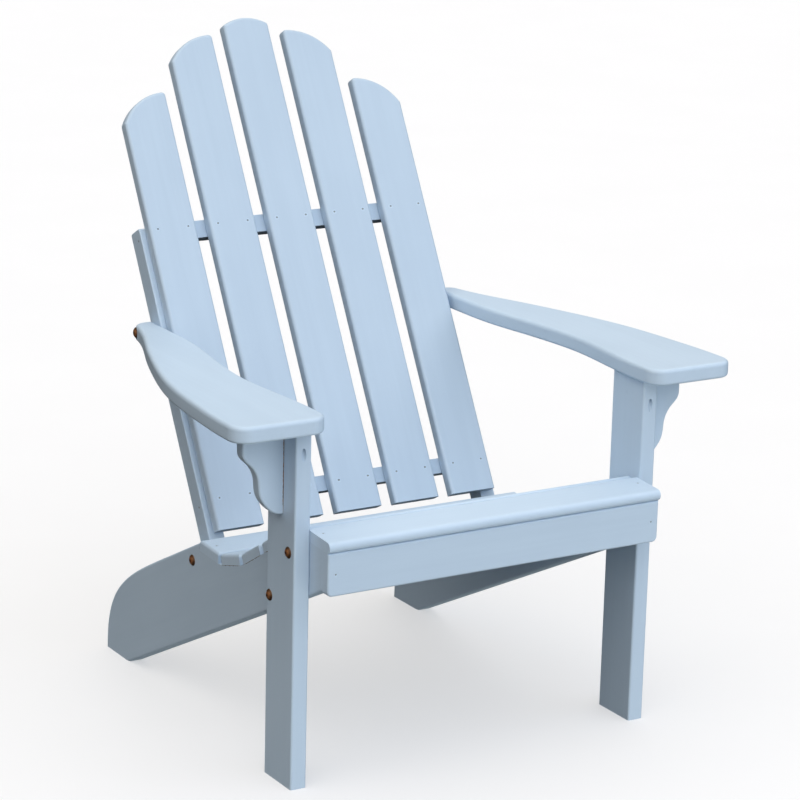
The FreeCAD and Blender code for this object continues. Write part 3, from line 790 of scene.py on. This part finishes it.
@dataclass
class ScrewCaps:
    """Filler and paint over the sunk heads of the screws; most show the driver's recess in painted shade."""

    nodes: tuple[tuple[str, Filling], ...] = (
        ("seat_screws", Filling.SHRUNK),
        ("back_slat_screws_lower", Filling.OPEN_RECESS),
        ("back_slat_screws_upper", Filling.OPEN_RECESS),
        ("back_frame_screws", Filling.OPEN_RECESS),
        ("bracket_screws", Filling.PAINTED_OVER),
        ("apron_screws", Filling.SHRUNK),
    )
    board: int = 30
    sink: float = 0.7 * MM
    sides: int = 20
    # the middle rings that take the recess's painted shade
    shaded_dusty_rings: int = 2
    recess_reach: float = 2.0  # how far out the driver's recess is out of round, in millimetres
    recess_length: float = 0.85  # the recess's least stretch lengthwise
    recess_varied: float = 0.3  # how much more that stretch may be
    recess_width: float = 0.8  # and its stretch crosswise
    seed: int = 11

    def build(self) -> None:
        """Makes the caps of each set of screws as one piece."""
        paint = PaintedTimber(Grain.ACROSS, self.board).material("cap_paint")
        recess = PaintedRecessShade().material("cap_recess")
        rng = random.Random(self.seed)
        for node, filling in self.nodes:
            parts = MeshParts()
            for middle, outward in driven_heads(node):
                self.add_cap(middle + outward * self.sink, outward, filling, rng, parts)
            add_piece(node.replace("screws", "screw_caps"), parts, [paint, recess])

    def add_cap(
        self, middle: Vector, outward: Vector, filling: Filling, rng: random.Random, parts: MeshParts
    ) -> None:
        """Adds one cap to a mesh.

        Args:
            middle: the middle of the hole's mouth.
            outward: the way the hole opens.
            filling: the section of its filler.
            rng: where the small irregularities come from.
            parts: the mesh, added to.
        """
        turn = outward.to_track_quat("Z", "Y").to_matrix()
        length = self.recess_length + self.recess_varied * rng.random()
        start = len(parts.points)
        profile = filling.value
        # painted-over caps get no painted shade in their recess
        shaded_dusty_rings = 0 if filling is Filling.PAINTED_OVER else self.shaded_dusty_rings
        parts.points.append(middle + outward * (profile[0][1] * MM))
        for radius, height in profile:
            in_recess = radius < self.recess_reach
            for step in range(self.sides):
                angle = 2 * math.pi * step / self.sides
                x = radius * math.cos(angle) * (length if in_recess else 1.0)
                y = radius * math.sin(angle) * (self.recess_width if in_recess else 1.0)
                parts.points.append(middle + turn @ Vector((x * MM, y * MM, height * MM)))
        for step in range(self.sides):
            after = (step + 1) % self.sides
            parts.faces.append((start, start + 1 + step, start + 1 + after))
            parts.kinds.append(CAP_RECESS_SHADE if shaded_dusty_rings else CAP_PAINT)
            for ring in range(len(profile) - 1):
                inner = start + 1 + ring * self.sides
                outer = inner + self.sides
                parts.faces.append((inner + step, outer + step, outer + after, inner + after))
                parts.kinds.append(CAP_RECESS_SHADE if ring < shaded_dusty_rings else CAP_PAINT)


@dataclass
class Fasteners:
    """Bolts, washers, nuts and screws."""

    bolts: tuple[str, ...] = ("leg_bolts", "back_bolts", "arm_bolts")
    zinced: tuple[str, ...] = (
        "leg_bolt_washers",
        "leg_bolt_nuts",
        "back_bolt_washers",
        "back_bolt_nuts",
        "arm_bolt_washers",
        "arm_bolt_nuts",
        "seat_screws",
        "back_slat_screws_lower",
        "back_slat_screws_upper",
        "back_frame_screws",
        "bracket_screws",
        "apron_screws",
        "arm_pocket_screws",
    )

    def dress(self) -> None:
        """Bronzes the bolts and zincs the rest."""
        for node in self.bolts:
            apply_finish(node, BronzedSteel())
        for node in self.zinced:
            apply_finish(node, ZincedSteel())


# ---- studio ------------------------------------------------------------------------------------------------
@dataclass(frozen=True)
class SoftLight:
    """A wide, distant light."""

    name: str
    azimuth: float  # degrees from the chair's front towards its right (+X)
    height: float  # degrees above the floor
    spread: float  # degrees across
    strength: float  # about 1 lights a white surface that faces it to full white
    colour: Colour

    def build(self) -> None:
        """Hangs the light."""
        lamp = bpy.data.lights.new(self.name, "SUN")
        lamp.energy = self.strength * math.pi
        lamp.color = self.colour
        lamp.angle = math.radians(self.spread)
        light = bpy.data.objects.new(self.name, lamp)
        bpy.context.scene.collection.objects.link(light)
        turn, rise = math.radians(self.azimuth), math.radians(self.height)
        source = Vector((math.sin(turn) * math.cos(rise), -math.cos(turn) * math.cos(rise), math.sin(rise)))
        light.rotation_mode = "QUATERNION"
        light.rotation_quaternion = source.to_track_quat("Z", "Y")


@dataclass(frozen=True)
class StudioCamera:
    """The camera: its place and reach in metres, its angles in degrees, its lens and film in millimetres."""

    place: Vector = Vector((-2.232, -3.79095, 1.669))
    yaw: float = 31.2723
    pitch: float = 15.5391
    roll: float = 1.4683
    lens: float = 137.008
    film: float = 36.0
    nearest: float = 0.1
    farthest: float = 200.0

    def build(self) -> None:
        """Sets up the camera and makes it the scene's."""
        yaw, pitch, roll = (math.radians(angle) for angle in (self.yaw, self.pitch, self.roll))
        ahead = Vector((math.sin(yaw) * math.cos(pitch), math.cos(yaw) * math.cos(pitch), -math.sin(pitch)))
        right = Vector((math.cos(yaw), -math.sin(yaw), 0))
        above = right.cross(ahead)
        turned_right = right * math.cos(roll) + above * math.sin(roll)
        turned_above = above * math.cos(roll) - right * math.sin(roll)
        data = bpy.data.cameras.new("studio_camera")
        data.sensor_width = self.film
        data.lens = self.lens
        data.clip_start, data.clip_end = self.nearest, self.farthest
        camera = bpy.data.objects.new("studio_camera", data)
        bpy.context.scene.collection.objects.link(camera)
        axes = Matrix((turned_right, turned_above, -ahead)).transposed().to_4x4()
        camera.matrix_world = Matrix.Translation(self.place) @ axes
        bpy.context.scene.camera = camera


@dataclass
class Studio:
    """The floor, the backdrop, the lights and the camera."""

    lights: tuple[SoftLight, ...] = (
        SoftLight("sky_light", azimuth=20, height=80, spread=120, strength=0.9, colour=(1.0, 0.955, 0.88)),
        SoftLight("front_light", azimuth=25, height=30, spread=90, strength=0.20, colour=(0.25, 0.52, 1.0)),
        SoftLight("left_light", azimuth=-55, height=35, spread=90, strength=0.36, colour=(1.0, 0.95, 0.91)),
        SoftLight("floor_bounce", azimuth=20, height=-35, spread=90, strength=0.40, colour=(1.0, 1.0, 0.92)),
        SoftLight("rear_light", azimuth=150, height=15, spread=60, strength=0.12, colour=(0.96, 0.98, 1.0)),
    )
    surround: Colour = (0.012, 0.012, 0.012)
    floor_size: float = 60.0
    backdrop_height: float = 25.0
    backdrop_sides: int = 48
    backdrop_glow: float = 1.0

    def build(self) -> None:
        """Sets everything up."""
        self.build_floor()
        self.build_backdrop()
        self.build_surround()
        for light in self.lights:
            light.build()
        StudioCamera().build()

    def build_floor(self) -> None:
        """Lays the floor; a light from below stands in for what it would throw back on the chair."""
        half = self.floor_size / 2
        corners = [(-half, -half, 0), (half, -half, 0), (half, half, 0), (-half, half, 0)]
        self.add_paper("studio_floor", corners, [(0, 1, 2, 3)], StudioPaper())

    def build_backdrop(self) -> None:
        """Stands a round white backdrop on the floor, for views from low down."""
        radius = self.floor_size / 2
        points = []
        faces = []
        for side in range(self.backdrop_sides):
            turn = 2 * math.pi * side / self.backdrop_sides
            x, y = radius * math.cos(turn), radius * math.sin(turn)
            points += [(x, y, 0), (x, y, self.backdrop_height)]
            foot, after = 2 * side, 2 * ((side + 1) % self.backdrop_sides)
            faces.append((foot, after, after + 1, foot + 1))
        self.add_paper("studio_backdrop", points, faces, StudioPaper(glow=self.backdrop_glow))

    def add_paper(
        self,
        name: str,
        points: list[tuple[float, float, float]],
        faces: list[tuple[int, ...]],
        paper: StudioPaper,
    ) -> None:
        """Makes a sheet of the studio that neither lights nor shades the chair.

        Args:
            name: the sheet's name.
            points: its mesh's vertices.
            faces: its mesh's faces.
            paper: what it is made of.
        """
        mesh = bpy.data.meshes.new(name)
        mesh.from_pydata(points, [], faces)
        mesh.materials.append(paper.material(f"{name}_paper"))
        sheet = bpy.data.objects.new(name, mesh)
        bpy.context.scene.collection.objects.link(sheet)
        sheet.visible_diffuse = False
        sheet.visible_glossy = False
        sheet.visible_shadow = False

    def build_surround(self) -> None:
        """Fills the room with a weak even light and shows colours as they are."""
        world = bpy.data.worlds.new("studio_room")
        world.use_nodes = True
        background = world.node_tree.nodes["Background"]
        background.inputs["Color"].default_value = (*self.surround, 1.0)
        bpy.context.scene.world = world
        bpy.context.scene.view_settings.view_transform = "Standard"


def main() -> None:
    """Dresses the chair, adds its small details and sets up the studio."""
    logging.basicConfig(level=logging.INFO, format="%(message)s")
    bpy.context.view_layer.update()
    Legs().dress()
    Base().dress()
    seat = Seat()
    seat.dress()
    seat.build_joints()
    Back().dress()
    arms = Arms()
    arms.dress()
    arms.build_seams()
    Fasteners().dress()
    ScrewCaps().build()
    Studio().build()


if __name__ == "__main__":
    main()
